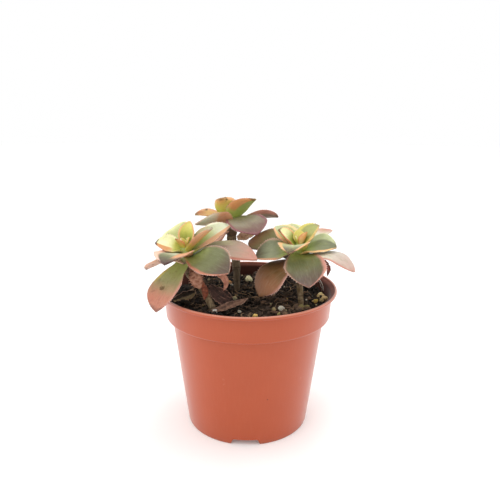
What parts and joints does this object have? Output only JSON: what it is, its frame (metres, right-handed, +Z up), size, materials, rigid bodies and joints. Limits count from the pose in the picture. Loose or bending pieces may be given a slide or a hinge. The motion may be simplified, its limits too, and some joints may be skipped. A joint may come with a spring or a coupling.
{
  "type": "potted aeonium",
  "caption": "Potted aeonium: leafy rosettes on bare woody stems with withered leaves below, in soil in a tapered plastic nursery pot with a banded rim and a notched foot.",
  "frame": {"origin": "middle of the plant's footprint on the surface it stands on, which is where the pot's axis meets that surface to within half a millimetre", "axes": "+Z up along the pot's axis, -Y towards the front, where the largest leaves of the right-hand and left-hand heads hang towards the viewer, +X to the viewer's right"},
  "size_m": [0.1154, 0.105, 0.1359],
  "materials": {
    "pot_plastic": "satin",
    "soil": "matte",
    "stem_bark": "matte",
    "leaf": "satin",
    "dry_leaf": "matte"
  },
  "bodies": {
    "root": {"pot": "pot_plastic", "soil": "soil", "stem_left": "stem_bark", "stem_right": "stem_bark", "stem_back": "stem_bark", "rosette_left": "leaf", "rosette_right": "leaf", "rosette_back": "leaf", "dry_leaf_hanging": "dry_leaf", "dry_leaf_hook": "dry_leaf", "dry_leaf_dark": "dry_leaf", "dry_leaf_strip": "dry_leaf", "dry_leaf_folded": "dry_leaf", "dry_leaf_tan": "dry_leaf", "dry_leaf_red": "dry_leaf"}
  },
  "joints": []
}
